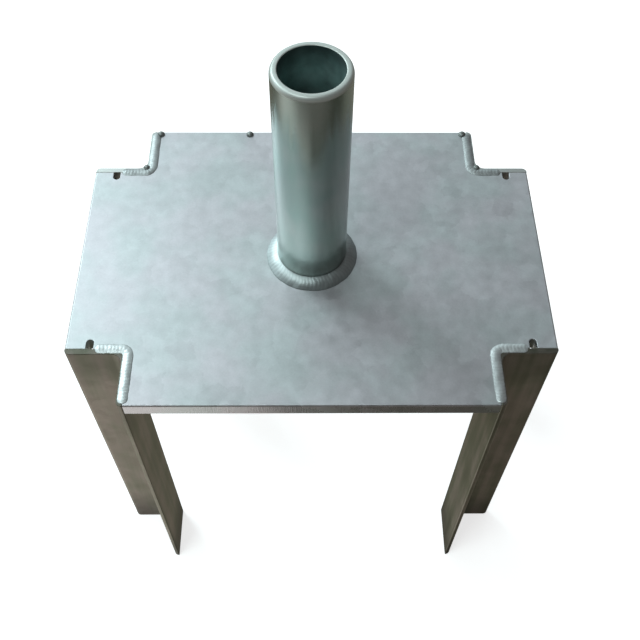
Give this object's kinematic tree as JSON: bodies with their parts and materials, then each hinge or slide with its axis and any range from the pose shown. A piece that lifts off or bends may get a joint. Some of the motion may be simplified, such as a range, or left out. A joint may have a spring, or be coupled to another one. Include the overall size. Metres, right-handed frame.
{
  "type": "scaffold fork head",
  "caption": "Galvanised scaffold fork head: a notched steel plate with rolled angles welded into its corners to hold a beam, and a round tube spigot welded to the plate's middle.",
  "frame": {"origin": "on the floor under the middle of the plate, level with the free ends of the angles", "axes": "+Z along the spigot towards its open end, +X along the longer side of the plate, -Y towards the viewer of the picture"},
  "size_m": [0.23, 0.17, 0.323],
  "materials": {
    "zinc_plate": "hot-dip galvanised plate, faint spangle",
    "zinc_tube": "hot-dip galvanised tube, semi-gloss",
    "zinc_angle": "galvanised rolled angle, dull and darker than the plate",
    "zinc_weld": "zinc-coated weld bead"
  },
  "bodies": {
    "root": {"fork_plate": "zinc_plate", "spigot_tube": "zinc_tube", "spigot_weld": "zinc_weld", "corner_angle_front_left": "zinc_angle", "corner_angle_front_right": "zinc_angle", "corner_angle_back_left": "zinc_angle", "corner_angle_back_right": "zinc_angle", "corner_weld_front_left": "zinc_weld", "corner_weld_front_right": "zinc_weld", "corner_weld_back_left": "zinc_weld", "corner_weld_back_right": "zinc_weld"}
  },
  "joints": []
}
